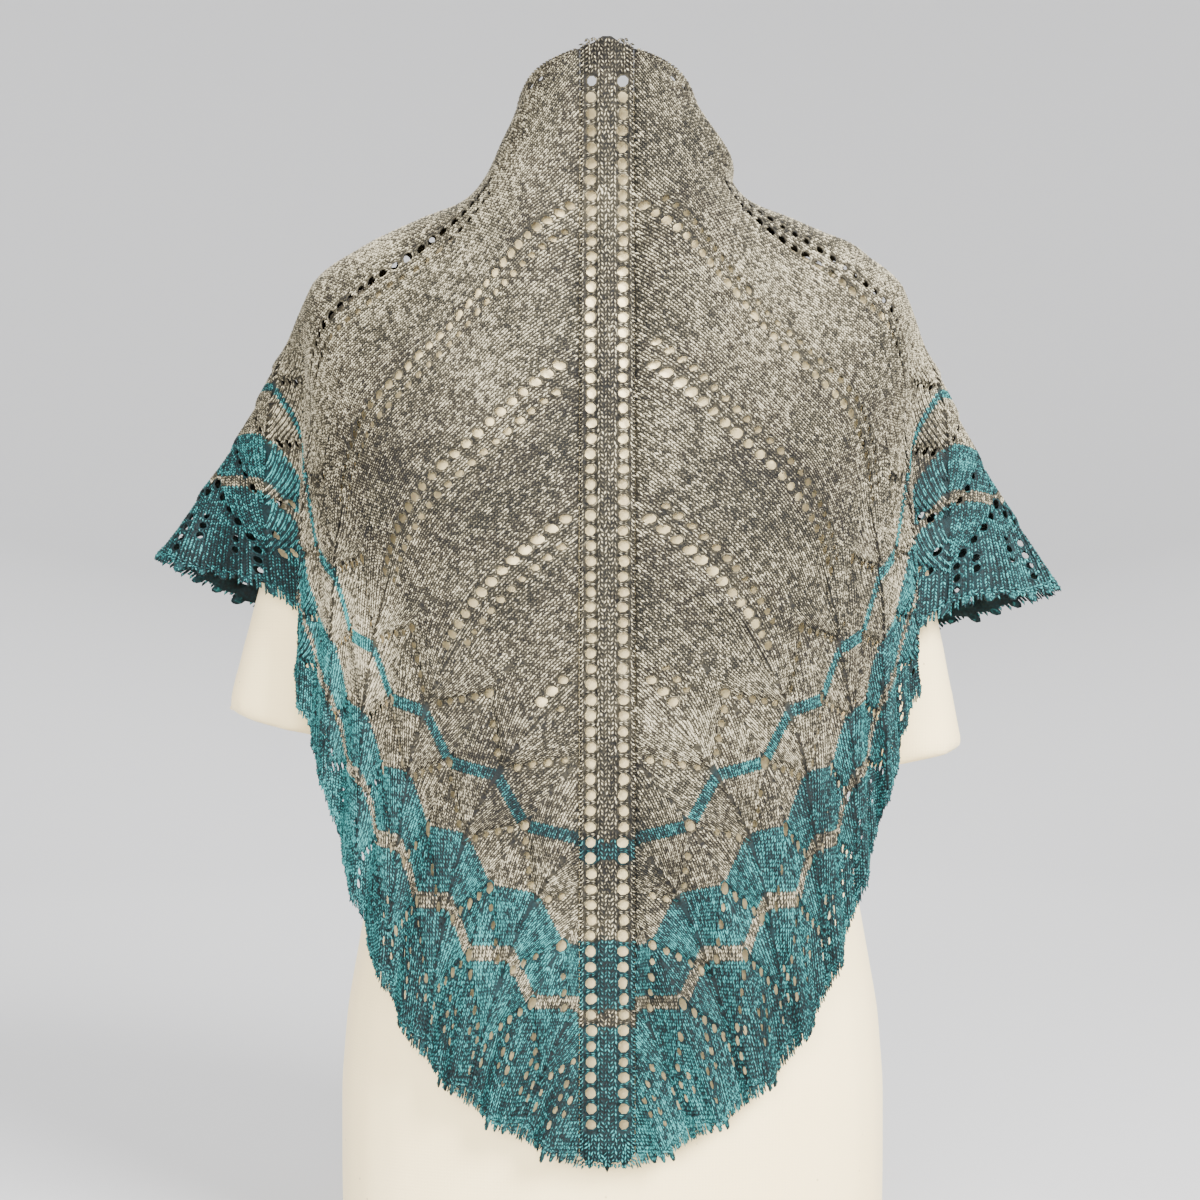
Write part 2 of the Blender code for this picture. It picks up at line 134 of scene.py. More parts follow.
# Angles round the body in degrees, from the spine
TURNS = (
    # depth, spine, quarter, side, crest, chest, edge
    (0.000, 0, 0, 0, 0, 0, 0),
    (0.040, 0, 8, 15, 19, 26, 34),
    (0.070, 0, 14, 26, 34, 46, 62),
    (0.100, 0, 20, 35, 46, 66, 90),
    (0.140, 0, 27, 46, 60, 88, 122),
    (0.200, 0, 36, 58, 78, 114, 146),
    (0.270, 0, 38, 61, 84, 126, 157),
    (0.410, 0, 32, 61, 87, 126, 161),
    (0.580, 0, 33, 64, 90, 128, 162),
    (0.730, 0, 33, 65, 91, 130, 163),
    (1.000, 0, 32, 65, 92, 132, 164),
)

# Half widths and depths of the rings in mm
SIZES = (
    # depth, half width, back, front
    (0.000, 54, 62, 58),
    (0.070, 58, 63, 62),
    (0.140, 67, 70, 68),
    (0.200, 78, 86, 80),
    (0.270, 96, 103, 94),
    (0.340, 129, 113, 108),
    (0.410, 168, 118, 120),
    (0.500, 202, 119, 128),
    (0.580, 208, 118, 128),
    (0.730, 208, 117, 122),
    (0.870, 205, 120, 118),
    (1.000, 204, 125, 118),
)

# Large folds, which grow from a depth to the hem, in mm at the hem
FOLDS = (
    # side, turn, half width, from depth, outward, forward, upward
    (-1, 0.635, 0.060, 0.42, 102, 2, 0),
    (1, 0.635, 0.060, 0.42, 102, 2, -22),
    (-1, 0.735, 0.065, 0.42, 6, 22, 0),
    (1, 0.735, 0.065, 0.42, 6, 22, 0),
    (-1, 0.556, 0.026, 0.42, -16, -6, 0),
    (1, 0.556, 0.026, 0.42, -16, -6, -10),
    (-1, 0.475, 0.060, 0.42, 6, -9, 0),
    (1, 0.475, 0.060, 0.42, 6, -9, 0),
    (-1, 0.90, 0.045, 0.45, 2, 14, 0),
    (1, 0.90, 0.045, 0.45, 2, 14, 0),
)

# Loose cloth in one place, in mm
BULGES = (
    # side, turn, half width, depth, half depth, outward, forward, upward
    (1, 0.75, 0.30, 0.160, 0.05, 15, 2, -8),
    (-1, 0.75, 0.30, 0.165, 0.05, 2, 0, 0),
)
SQUARENESS = 0.05


def curve(rows, column, v):
    """Value of a table's column at depth v, rising and falling only where the rows do."""
    xs = np.array([row[0] for row in rows], float)
    ys = np.array([row[column] for row in rows], float)
    step = np.diff(xs)
    rise = np.diff(ys) / step
    slope = np.zeros(len(xs))
    slope[0] = rise[0]
    slope[-1] = rise[-1]
    for i in range(1, len(xs) - 1):
        if rise[i - 1] * rise[i] > 0:
            a = 2 * step[i] + step[i - 1]
            b = step[i] + 2 * step[i - 1]
            slope[i] = (a + b) / (a / rise[i - 1] + b / rise[i])
    v = np.clip(v, xs[0], xs[-1])
    i = np.clip(np.searchsorted(xs, v, side="right") - 1, 0, len(xs) - 2)
    s = (v - xs[i]) / step[i]
    first = (1 + 2 * s) * (1 - s) ** 2 * ys[i] + s * (1 - s) ** 2 * step[i] * slope[i]
    last = s * s * (3 - 2 * s) * ys[i + 1] + s * s * (s - 1) * step[i] * slope[i + 1]
    return first + last


def bending(knots):
    """Matrix that turns values at the knots into a natural spline's second derivatives."""
    n = len(knots)
    h = np.diff(knots)
    left = np.eye(n)
    right = np.zeros((n, n))
    for i in range(1, n - 1):
        left[i, i - 1:i + 2] = (h[i - 1], 2 * (h[i - 1] + h[i]), h[i])
        right[i, i - 1:i + 2] = (6 / h[i - 1], -6 / h[i - 1] - 6 / h[i], 6 / h[i])
    return np.linalg.solve(left, right)


KNOTS = np.array(STATIONS, float)
BENDING = bending(KNOTS)


def across(rows, v, t):
    """Spline over the six stations of a table, at depth v and turn t."""
    values = np.stack([curve(rows, k, v) for k in range(1, 7)], -1)
    bends = values @ BENDING.T
    i = np.clip(np.searchsorted(KNOTS, t, side="right") - 1, 0, len(KNOTS) - 2)
    h = np.diff(KNOTS)[i]
    a = KNOTS[i + 1] - t
    b = t - KNOTS[i]
    low = np.take_along_axis(values, i[..., None], -1)[..., 0]
    high = np.take_along_axis(values, i[..., None] + 1, -1)[..., 0]
    low_bend = np.take_along_axis(bends, i[..., None], -1)[..., 0]
    high_bend = np.take_along_axis(bends, i[..., None] + 1, -1)[..., 0]
    curved = low_bend * a ** 3 / (6 * h) + high_bend * b ** 3 / (6 * h)
    return curved + (low / h - low_bend * h / 6) * a + (high / h - high_bend * h / 6) * b


def ease(low, high, x):
    """Smooth step from 0 at low to 1 at high."""
    s = np.clip((x - low) / (high - low), 0, 1)
    return s * s * (3 - 2 * s)


def wave(t, v):
    """Share of the full wave height at a point of the border."""
    along = v * ROW_DEPTH * (2 * t - 1)
    crest = (1 + np.cos(2 * math.pi * along * WAVE_REPEATS / (2 * ROW_DEPTH))) / 2
    return crest * ease(0, 0.04, t) * ease(0, 0.04, 1 - t)


def smooth_point(side, t, v):
    """Point of a half's middle surface, before the border's waves."""
    height = across(HEIGHTS, v, t)
    turn = np.radians(across(TURNS, v, t))
    half = curve(SIZES, 1, v)
    back = curve(SIZES, 2, v)
    front = curve(SIZES, 3, v)
    band = BAND_HALF * 1000
    out = (np.sin(turn) + SQUARENESS * np.sin(3 * turn)) / (1 - SQUARENESS)
    level = (np.cos(turn) - SQUARENESS * np.cos(3 * turn)) / (1 - SQUARENESS)
    x = band + (half - band) * out
    y = -(back + (front - back) * ease(-0.5, 0.5, -np.cos(turn))) * level
    for fold_side, at, width, start, outward, forward, upward in FOLDS:
        if fold_side == side:
            share = np.exp(-((t - at) / width) ** 2) * np.clip((v - start) / (1 - start), 0, 1.1) ** 2
            x = x + outward * share
            y = y + forward * share
            height = height + upward * share
    for bulge_side, at, width, depth, reach, outward, forward, upward in BULGES:
        if bulge_side == side:
            share = np.exp(-((t - at) / width) ** 2) * np.exp(-((v - depth) / reach) ** 2)
            share = share * ease(0, 0.3, t)
            x = x + outward * share
            y = y + forward * share
            height = height + upward * share
    return np.stack([side * x, y, height], -1) / 1000


def half_point(side, flat):
    """Middle surface of a half, at flat points (outward, down) from its top corner."""
    flat = np.asarray(flat, float)
    depth = np.maximum(flat[:, 0] + flat[:, 1], 1e-6)
    t = np.clip(flat[:, 0] / depth, 0, 1)
    v = depth / SPINE_LENGTH
    past = np.maximum(v - 1, 0)[:, None]
    base = smooth_point(side, t, np.minimum(v, 1))
    if past.any():
        before = smooth_point(side, t, np.minimum(v, 1) - 0.02)
        base = base + (base - before) / 0.02 * past
    return base, t, np.minimum(v, 1)



def surface(side, flat):
    """Points of a half's cloth at flat (outward, down), with its ruffles and creases."""
    flat = np.asarray(flat, float)
    base, t, v = half_point(side, flat)
    out_a = half_point(side, flat + [0.002, 0])[0] - half_point(side, flat - [0.002, 0])[0]
    out_b = half_point(side, flat + [0, 0.002])[0] - half_point(side, flat - [0, 0.002])[0]
    normal = -side * np.cross(out_a, out_b)
    normal = normal / np.linalg.norm(normal, axis=1)[:, None]
    rise = WAVE_HEIGHT * ease(BORDER_AT, 1, v) * wave(t, v) + relief(side, t, v)
    return base + normal * rise[:, None]


# Soft creases, different on each half
CREASES = (
    # side, along the row, depth, heading, half length, half width, height (metres)
    (-1, -0.215, 0.33, 1.2, 0.075, 0.007, 0.0022),
    (-1, -0.120, 0.26, 1.0, 0.060, 0.006, 0.0018),
    (-1, -0.290, 0.42, 1.5, 0.060, 0.008, 0.0024),
    (-1, -0.030, 0.20, 0.5, 0.050, 0.006, 0.0016),
    (-1, 0.100, 0.30, 0.9, 0.070, 0.008, 0.0024),
    (-1, 0.220, 0.38, 1.3, 0.060, 0.007, 0.0020),
    (-1, 0.330, 0.47, 1.1, 0.050, 0.006, 0.0020),
    (-1, -0.020, 0.47, 1.4, 0.055, 0.009, 0.0026),
    (1, -0.240, 0.31, 1.3, 0.065, 0.006, 0.0020),
    (1, -0.150, 0.38, 1.5, 0.070, 0.008, 0.0024),
    (1, -0.060, 0.17, 0.4, 0.040, 0.005, 0.0020),
    (1, -0.330, 0.45, 1.1, 0.050, 0.007, 0.0022),
    (1, 0.060, 0.23, 0.7, 0.055, 0.006, 0.0018),
    (1, 0.160, 0.41, 1.2, 0.065, 0.008, 0.0025),
    (1, 0.300, 0.44, 1.5, 0.055, 0.006, 0.0018),
    (1, 0.020, 0.49, 1.3, 0.045, 0.008, 0.0024),
)


def relief(side, t, v):
    """Height of the leaves, their ridges, the ruffles and the creases, outward in metres."""
    along = v * ROW_DEPTH * (2 * t - 1)
    depth = v * ROW_DEPTH
    near = ease(0, 0.05, t) * ease(0, 0.05, 1 - t)
    x = from_middle(along)
    w = depth - ARM_SLOPE * x
    tier = np.clip(np.searchsorted(TIERS, w, side="right") - 1, 0, len(TIERS) - 2)
    share = (w - np.array(TIERS)[tier]) / np.diff(TIERS)[tier]
    scale = 0.0019 * share * (1 - ease(0.9, 1, share)) * (tier < len(TIERS) - 2)
    ridge = 0.0016 * np.exp(-((HALF_LEAF - x) / 0.0022) ** 2)
    leaves = (scale + ridge) * leaf_share(v) * (1 - 0.6 * ease(0.9, 0.96, v))
    ripple = np.sin(2 * math.pi * along / 0.031 + 1.7 * side + 3 * np.sin(along * 14))
    ripple = 0.0016 * ripple * ease(0.86, 1, v)
    swell = 0.0010 * np.sin(along * 41 + 2 * side) * np.sin(v * 23 + side) * ease(0.15, 0.5, v)
    creases = 0
    for at_side, at, low, heading, long, wide, height in CREASES:
        if at_side == side:
            c = math.cos(heading)
            d = math.sin(heading)
            ahead = (along - at) * c + (depth - low) * d
            aside = (depth - low) * c - (along - at) * d
            creases = creases + height * np.exp(-(ahead / long) ** 2 - (aside / wide) ** 2)
    return (leaves + ripple + swell + creases) * near


def half_frames(side, row_at, wale_at):
    """Points and the three directions of the cloth (along the row, down the wale, out)."""
    flat = np.stack([(row_at + wale_at), (row_at - wale_at)], -1) / math.sqrt(2)
    step = 0.0006
    middle = surface(side, flat)
    turn = step / math.sqrt(2)
    wide = (surface(side, flat + [turn, -turn]) - middle) / step
    down = (surface(side, flat + [turn, turn]) - middle) / step
    out = -side * np.cross(wide, down)
    return middle, wide, down, out / np.linalg.norm(out, axis=1)[:, None]


def band_point(flat):
    """Points of the spine band at flat (x, down)."""
    v = np.clip(flat[:, 1] / SPINE_LENGTH, 0, 1)
    base = smooth_point(1, np.zeros(len(flat)), v)
    past = np.maximum(flat[:, 1] - SPINE_LENGTH, 0) + np.minimum(flat[:, 1], 0)
    rise = 0.0012 * (1 - (flat[:, 0] / BAND_HALF) ** 2)
    return np.stack([flat[:, 0], base[:, 1] - rise, base[:, 2] - past * 0.95], -1)


def band_frames(x, down_at):
    """Points and directions of the spine band, in the same order as half_frames."""
    flat = np.stack([x, down_at], -1)
    step = 0.0006
    middle = band_point(flat)
    wide = (band_point(flat + [step, 0]) - middle) / step
    down = (band_point(flat + [0, step]) - middle) / step
    out = -np.cross(wide, down)
    return middle, wide, down, out / np.linalg.norm(out, axis=1)[:, None]


def shift_to_frame():
    """Distance from the cloth's own axes to the CAD frame's."""
    low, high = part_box("spine_panel")
    down = np.linspace(0, SPINE_LENGTH, 400)
    middle, wide, along, out = band_frames(np.zeros(400), down)
    own_low = (middle + out * WALL / 2)[:, 1].min()
    return np.array([(low[0] + high[0]) / 2, low[1] - own_low, 0])


# The knitting: where each stitch lies in the flat cloth, and where the eyelets are

def from_middle(at):
    """Distance from the nearest leaf's middle line."""
    return np.abs(((at / LEAF_WIDTH) % 1) - 0.5) * LEAF_WIDTH


def leaf_share(v):
    """How far the leaves have grown at depth v."""
    return ease(0.57, 0.66, v)


def row_rise(v, at):
    """How far a row is pulled towards the hem by the leaves."""
    fade = 1 - 0.5 * ease(0.93, 1, v)
    return LEAF_RISE * (1 - 2 * from_middle(at) / HALF_LEAF) * leaf_share(v) * fade


def half_leaf_stitches():
    """Stitches from a leaf's middle line to a ridge, in every tier.

    Rows of knitted depth, distance from the middle line, depth in the cloth, lean of the
    wale, and width. Each tier's wales start along its eyelets and lean out to the ridge.
    """
    found = []
    for i, (low_lean, high_lean, spacing) in enumerate(LEANS):
        w = np.linspace(TIERS[i], TIERS[i + 1], 80)
        share = (w - w[0]) / (w[-1] - w[0])
        lean = low_lean + (high_lean - low_lean) * share
        pace = lean / (1 - ARM_SLOPE * lean)
        drift = np.concatenate([[0], np.cumsum((pace[1:] + pace[:-1]) / 2 * np.diff(w))])
        start = 0.5 * WALE - spacing * WALE * math.ceil(drift[-1] / (spacing * WALE))
        while start < HALF_LEAF:
            x = start + drift
            depth = w + ARM_SLOPE * x
            knitted = depth - row_rise(depth / ROW_DEPTH, HALF_LEAF - x)
            first = math.ceil(knitted[0] / ROW - 0.5)
            last = math.ceil(knitted[-1] / ROW - 0.5)
            rows = (np.arange(first, last) + 0.5) * ROW
            at = np.interp(rows, knitted, x)
            tilt = np.interp(rows, knitted, lean)
            size = spacing * (1 - ARM_SLOPE * tilt) / np.sqrt(1 + tilt * tilt)
            low = np.interp(rows, knitted, depth)
            rows = np.stack([rows, at, low, tilt, size], -1)
            found.append(rows[(at > 0.0004) & (at < HALF_LEAF - 0.0004)])
            start += spacing * WALE
    return np.concatenate(found)


def half_lattice():
    """Knitted depth, place along the row, depth in the cloth, lean and width of each stitch."""
    rows = []
    depth = ROW / 2
    while depth < TIERS[0] + ARM_SLOPE * HALF_LEAF + 2 * LEAF_RISE:
        at = (np.arange(-200, 200) + 0.5) * WALE
        low = depth + row_rise(depth / ROW_DEPTH, at)
        keep = low - ARM_SLOPE * from_middle(at) < TIERS[0]
        rows.append(np.stack([np.full(len(at), depth), at, low, 0 * at, 1 + 0 * at], -1)[keep])
        depth += ROW
    one = half_leaf_stitches()
    for cell in range(-8, 8):
        for way in (-1, 1):
            leaf = one.copy()
            leaf[:, 1] = (cell + 0.5) * LEAF_WIDTH + way * one[:, 1]
            leaf[:, 3] *= way
            rows.append(leaf)
    rows = np.concatenate(rows)
    return rows[np.abs(rows[:, 1]) < rows[:, 2] - 0.0012]


def half_eyelets(side):
    """Rows of (depth, along, half width, half height) for every eyelet of a half."""
    found = []
    for k, first in zip((4, 3, 2, 1, 0), COLUMN_FROM):
        for mirror in (-1, 1):
            if mirror == 1 and k == 0:
                continue
            at = mirror * k * LEAF_WIDTH + COLUMN_ASIDE
            v = first
            while v < COLUMN_TO:
                found.append((v * ROW_DEPTH, at, *LARGE_EYELET))
                v += COLUMN_PITCH / ROW_DEPTH
            v = first + 0.012
            while v < COLUMN_TO - 0.01:
                found.append((v * ROW_DEPTH, at + side * COLUMN_GAP, *SMALL_EYELET))
                v += COLUMN_PITCH / ROW_DEPTH
    for i in range(EDGE_EYELETS):
        a = EDGE_FIRST + i * SPINE_PITCH
        low = (a + EDGE_COLUMN) / math.sqrt(2)
        found.append((low, (a - EDGE_COLUMN) / math.sqrt(2), *EDGE_EYELET))
    for low in TIERS[1:5]:
        for k in range(-8, 8):
            at = (k + 0.5) * LEAF_WIDTH
            found.append((low, at, *APEX_EYELET))
            for arm in (-1, 1):
                for i in range(1, 5):
                    below = low + i * ARM_PITCH * ARM_SLOPE + 0.001
                    found.append((below, at + arm * i * ARM_PITCH, *LEAF_EYELET))
    for i in range(-48, 49):
        at = (i + 0.5) * LEAF_WIDTH / 7
        start = (0.930 + 0.012 * math.sin(i * 1.9)) * ROW_DEPTH
        for j in range(0 if i % 7 in (2, 5) else 3 + i % 2):
            found.append((start + j * HEM_PITCH, at, *HEM_EYELET))

    def apart(one, other):
        return (abs(one[0] - other[0]) > one[3] + other[3] + 0.0006
                or abs(one[1] - other[1]) > one[2] + other[2] + 0.0006)

    kept = []
    chance = np.random.default_rng(11 + side)
    for depth, at, wide, tall in found:
        grow = chance.uniform(0.86, 1.1)
        wide *= grow
        tall *= grow * chance.uniform(0.9, 1.08)
        depth += chance.uniform(-0.0004, 0.0004)
        eyelet = (depth, at, wide, tall)
        within = abs(at) < depth - 0.007 and depth < ROW_DEPTH - 0.009
        if within and all(apart(eyelet, other) for other in kept[-400:]):
            kept.append(eyelet)
    return kept


DYE_BANDS = (
    # from depth, to depth, teal
    (0.714, 0.732, 1),
    (0.804, 0.866, 1),
    (0.879, 1.100, 1),
)


def dye_of(v):
    """1 where the row was knitted in teal, 0 in grey."""
    teal = np.zeros(len(v))
    for low, high, value in DYE_BANDS:
        teal[(v >= low) & (v < high)] = value
    return teal


def quick_mesh(name, points, triangles, mat, tints):
    """Mesh object from arrays of points and triangles, with values on its points."""
    mesh = bpy.data.meshes.new(name)
    mesh.vertices.add(len(points))
    mesh.vertices.foreach_set("co", np.ascontiguousarray(points, dtype=np.float32).ravel())
    mesh.loops.add(3 * len(triangles))
    mesh.loops.foreach_set("vertex_index", np.ascontiguousarray(triangles, dtype=np.int32).ravel())
    mesh.polygons.add(len(triangles))
    mesh.polygons.foreach_set("loop_start", np.arange(0, 3 * len(triangles), 3, dtype=np.int32))
    mesh.update(calc_edges=True)
    mesh.validate()
    mesh.shade_smooth()
    for key, values in tints.items():
        layer = mesh.attributes.new(key, "FLOAT", "POINT")
        layer.data.foreach_set("value", np.ascontiguousarray(values, dtype=np.float32))
    mesh.materials.append(mat)
    made = bpy.data.objects.new(name, mesh)
    bpy.context.scene.collection.objects.link(made)
    return made


LEG = (
    # along the row, down the wale, outward, as shares of a wale, a row and a lift
    (0.04, -0.70, 0.20),
    (0.44, 0.85, 0.20),
    (0.06, 0.34, 0.0),
    (0.44, -0.22, 0.0),
    (0.25, 0.08, 1.0),
)
# Painted light on a leg's corners: painted shade at its two ends, deeper painted shade on its two sides,
# and a painted highlight on its raised middle
LEG_PAINTED_LIGHT = (-0.26, -0.24, -0.58, -0.58, 0.46)
LEG_FACES = ((0, 3, 4), (3, 1, 4), (1, 2, 4), (2, 0, 4))
LEG_FOOT = 0.0005
LIFT = 0.0011


def squared(frames):
    """The same places with square directions, so that no stitch is drawn out or skewed."""
    middle, wide, down, out = frames
    long = np.linalg.norm(down, axis=1)[:, None]
    down = down / long
    level = np.cross(down, out)
    span = (wide * level).sum(1)[:, None]
    wide = level * np.sign(span) * np.clip(np.abs(span), 0.75, 1.25)
    return middle, wide, down * np.clip(long, 0.75, 1.25), out


def stitch_points(frames, turn, wide_size, long_size, lifts):
    """Corners of every stitch's two legs, turned by its wale's lean and its row's slope."""
    middle, wide, down, out = squared(frames)
    points = []
    for way in (-1, 1):
        for along, below, up in LEG:
            e = way * along * WALE * wide_size
            f = below * ROW * long_size
            across = e + turn[0] * f
            beneath = f + turn[1] * e
            high = LEG_FOOT + up * LIFT * lifts
            place = middle + wide * across[:, None] + down * beneath[:, None]
            points.append(place + out * high[:, None])
    return np.stack(points, 1)


def stitch_faces(count, side):
    """Faces of a number of stitches, wound outward on either side."""
    one = np.array([[5 * way + i for i in face] for way in (0, 1) for face in LEG_FACES])
    one[:4] = one[:4, ::-1]
    if side > 0:
        one = one[:, ::-1]
    return (one[None] + 10 * np.arange(count)[:, None, None]).reshape(-1, 3)


def near_eyelets(depth, at, eyelets):
    """Which stitches lie in an eyelet."""
    hit = np.zeros(len(depth), bool)
    for low, along, wide, tall in eyelets:
        near = np.flatnonzero(np.abs(depth - low) < 0.006)
        beside = (at[near] - along) / (wide + 0.0004)
        below = (depth[near] - low) / (tall + 0.0004)
        hit[near[beside ** 2 + below ** 2 < 1]] = True
    return hit


def inside(point, polygon):
    """Whether a flat point lies in a polygon."""
    x, y = point
    hit = False
    for i in range(len(polygon)):
        ax, ay = polygon[i]
        bx, by = polygon[i - 1]
        if (ay > y) != (by > y) and x < (bx - ax) * (y - ay) / (by - ay) + ax:
            hit = not hit
    return hit


def fill(outline, holes, extra):
    """Triangles of a flat outline less its holes, found on a slightly bowed copy."""
    points = list(outline)
    edges = [(i, (i + 1) % len(outline)) for i in range(len(outline))]
    for hole in holes:
        first = len(points)
        points += hole
        edges += [(first + i, first + (i + 1) % len(hole)) for i in range(len(hole))]
    points += extra
    centre = np.mean(outline, axis=0)
    offset = np.array(points) - centre
    bowed = centre + offset * (1 - 0.1 * (offset ** 2).sum(1))[:, None]
    made = delaunay_2d_cdt([Vector(p) for p in bowed], edges, [], 1, 1e-9)
    where = [points[sources[0]] if sources else tuple(made[0][i]) for i, sources in enumerate(made[3])]
    faces = np.array(made[2])
    centres = np.array(where)[faces].mean(1)
    keep = np.ones(len(faces), bool)
    for hole in holes:
        low = np.min(hole, axis=0)
        high = np.max(hole, axis=0)
        near = np.all((centres > low) & (centres < high), axis=1) & keep
        for i in np.flatnonzero(near):
            keep[i] = not inside(centres[i], hole)
    return np.array(where), faces[keep]


def ellipse(low, at, wide, tall):
    """Corners of an eyelet in flat (outward, down)."""
    corners = []
    for i in range(8):
        a = 2 * math.pi * (i + 0.5) / 8
        depth = low + tall * math.cos(a)
        along = at + wide * math.sin(a)
        corners.append(((depth + along) / math.sqrt(2), (depth - along) / math.sqrt(2)))
    return corners


PICOT_PITCH = LEAF_WIDTH / 7
PICOT_LENGTHS = (0.0080, 0.0046, 0.0056, 0.0050, 0.0070, 0.0044, 0.0054)
PICOT_SHAPE = (
    # along the hem in mm, share of the picot's length
    (-3.4, -0.10),
    (-2.4, 0.20),
    (-2.2, 0.65),
    (-1.0, 1.0),
    (1.0, 1.0),
    (2.2, 0.65),
    (2.4, 0.20),
)
PICOT_STITCHES = (
    # along the hem in mm, share of the picot's length, turn, size
    (-0.9, 0.15, -0.3, 0.8),
    (0.9, 0.18, 0.3, 0.8),
    (0.0, 0.62, 0.4, 0.7),
)


def hem_reach(at):
    """Depth of the hem at a place along it."""
    return ROW_DEPTH - 0.001 + float(row_rise(np.array(1.0), np.array(at)))


def picots():
    """Place along the hem, reach of the hem there, and length of each picot of a half."""
    count = int(ROW_DEPTH / PICOT_PITCH) - 1
    rows = []
    for i in range(-count, count + 1):
        at = i * PICOT_PITCH
        rows.append((at, hem_reach(at), PICOT_LENGTHS[i % len(PICOT_LENGTHS)]))
    return rows


def half_outline():
    """Flat outline of a half: spine side, hem with its picots, top side."""
    outline = [(SEAM_GAP, b) for b in np.arange(0.001, SPINE_LENGTH - 0.003, 0.006)]
    for at, reach, length in picots():
        for along, share in PICOT_SHAPE:
            depth = reach + share * length
            a = (depth + at + along / 1000) / math.sqrt(2)
            b = (depth - at - along / 1000) / math.sqrt(2)
            outline.append((a, b))
    outline += [(a, SEAM_GAP) for a in np.arange(SPINE_LENGTH - 0.003, 0.003, -0.006)]
    return outline


def shell(name, place, flat, faces, thick, flip, mat, tints):
    """Closed thin wall over flat triangles; place gives points and outward directions."""
    middle, out = place(flat)
    count = len(flat)
    points = np.concatenate([middle + out * thick / 2, middle - out * thick / 2])
    top = faces[:, ::-1] if flip else faces
    bottom = top[:, ::-1] + count
    edges = np.concatenate([top[:, [0, 1]], top[:, [1, 2]], top[:, [2, 0]]])
    keys = edges[:, 0].astype(np.int64) * count + edges[:, 1]
    back = edges[:, 1].astype(np.int64) * count + edges[:, 0]
    rim = edges[~np.isin(keys, back)]
    side = np.concatenate([
        np.stack([rim[:, 1], rim[:, 0], rim[:, 0] + count], -1),
        np.stack([rim[:, 1], rim[:, 0] + count, rim[:, 1] + count], -1),
    ])
    tints = {key: np.concatenate([values, values]) for key, values in tints.items()}
    return quick_mesh(name, points, np.concatenate([top, bottom, side]), mat, tints)


def half_cloth(word, side, eyelets, shift, mat):
    """Base cloth of a half, with every eyelet cut through."""
    holes = [ellipse(*eyelet) for eyelet in eyelets]
    middles = np.array([np.mean(hole, axis=0) for hole in holes])
    extra = []
    grid = 0.0085
    for j in range(1, 110):
        b = grid * 0.87 * j
        a = grid * (np.arange(1, 95) + 0.5 * (j % 2))
        near = np.stack([a, np.full(len(a), b)], -1)
        near = near[(a + b < SPINE_LENGTH - 0.006) & (a > 0.004) & (b > 0.004)]
        for p in near:
            if np.min(np.abs(middles - p).max(1)) > 0.0046:
                extra.append(tuple(p))
    flat, faces = fill(half_outline(), holes, extra)

    def place(at):
        rows = (at[:, 0] + at[:, 1]) / math.sqrt(2)
        wales = (at[:, 0] - at[:, 1]) / math.sqrt(2)
        middle, wide, down, out = half_frames(side, rows, wales)
        return middle + shift, out

    rows = (flat[:, 0] + flat[:, 1]) / math.sqrt(2)
    wales = (flat[:, 0] - flat[:, 1]) / math.sqrt(2)
    knitted = rows / ROW_DEPTH
    knitted = knitted - row_rise(knitted, wales) / ROW_DEPTH
    # The base cloth is dark: painted shade in the gaps between the stitches
    tints = {"teal": dye_of(knitted), "tone_and_painted_light": np.full(len(flat), 0.12)}
    return shell("cloth_" + word, place, flat, faces, CLOTH_THICK, side < 0, mat, tints)


BAND_FOOT = (
    # across the band, past its length: two picots and the point between them
    (-0.011, 0.005),
    (-0.0085, 0),
    (-0.003, 0.001),
    (0, 0.0075),
    (0.003, 0.001),
    (0.0085, 0),
    (0.011, 0.005),
)
BAND_TOP = ((0.009, -0.003), (0.003, -0.0075), (-0.003, -0.0075), (-0.009, -0.003))


def band_cloth(shift, mat):
    """Base cloth of the spine band, with its two columns of eyelets cut through."""
    edge = BAND_HALF - SEAM_GAP
    downs = np.arange(0.0002, SPINE_LENGTH, 0.006)
    outline = [(-edge, b) for b in downs]
    outline += [(x, SPINE_LENGTH + past) for x, past in BAND_FOOT]
    outline += [(edge, b) for b in downs[::-1]]
    outline += list(BAND_TOP)
    holes = []
    for at in band_eyelets():
        turns = [2 * math.pi * (i + 0.5) / 14 for i in range(14)]
        holes.append([(at[0] + at[2] * math.cos(a), at[1] + at[3] * math.sin(a)) for a in turns])
    extra = [(x, 0.02 + i * 0.008) for i in range(94) for x in (-0.003, 0.003)]
    flat, faces = fill(outline, holes, extra)

    def place(at):
        middle, wide, down, out = band_frames(at[:, 0], at[:, 1])
        return middle + shift, out

    # The base cloth is dark: painted shade in the gaps between the stitches
    tints = {"teal": dye_of(flat[:, 1] / SPINE_LENGTH), "tone_and_painted_light": np.full(len(flat), 0.1)}
    return shell("cloth_spine", place, flat, faces, CLOTH_THICK, False, mat, tints)


def band_eyelets():
    """Rows of (across, down, half width, half height) for the band's eyelets."""
    rows = []
    chance = np.random.default_rng(3)
    for side in (-1, 1):
        for i in range(SPINE_EYELETS):
            wide, tall = np.array(SPINE_EYELET) * chance.uniform(0.85, 1.05, 2)
            x = side * SPINE_COLUMN + chance.uniform(-0.0005, 0.0005)
            rows.append((x, SPINE_FIRST + i * SPINE_PITCH, wide, tall))
    return rows


RING_STEPS = 8
RING_RAILS = (
    # outward from the eyelet's edge, height over the cloth
    (-0.0003, 0.0003),
    (0.0004, 0.0010),
    (0.0010, 0.0003),
)


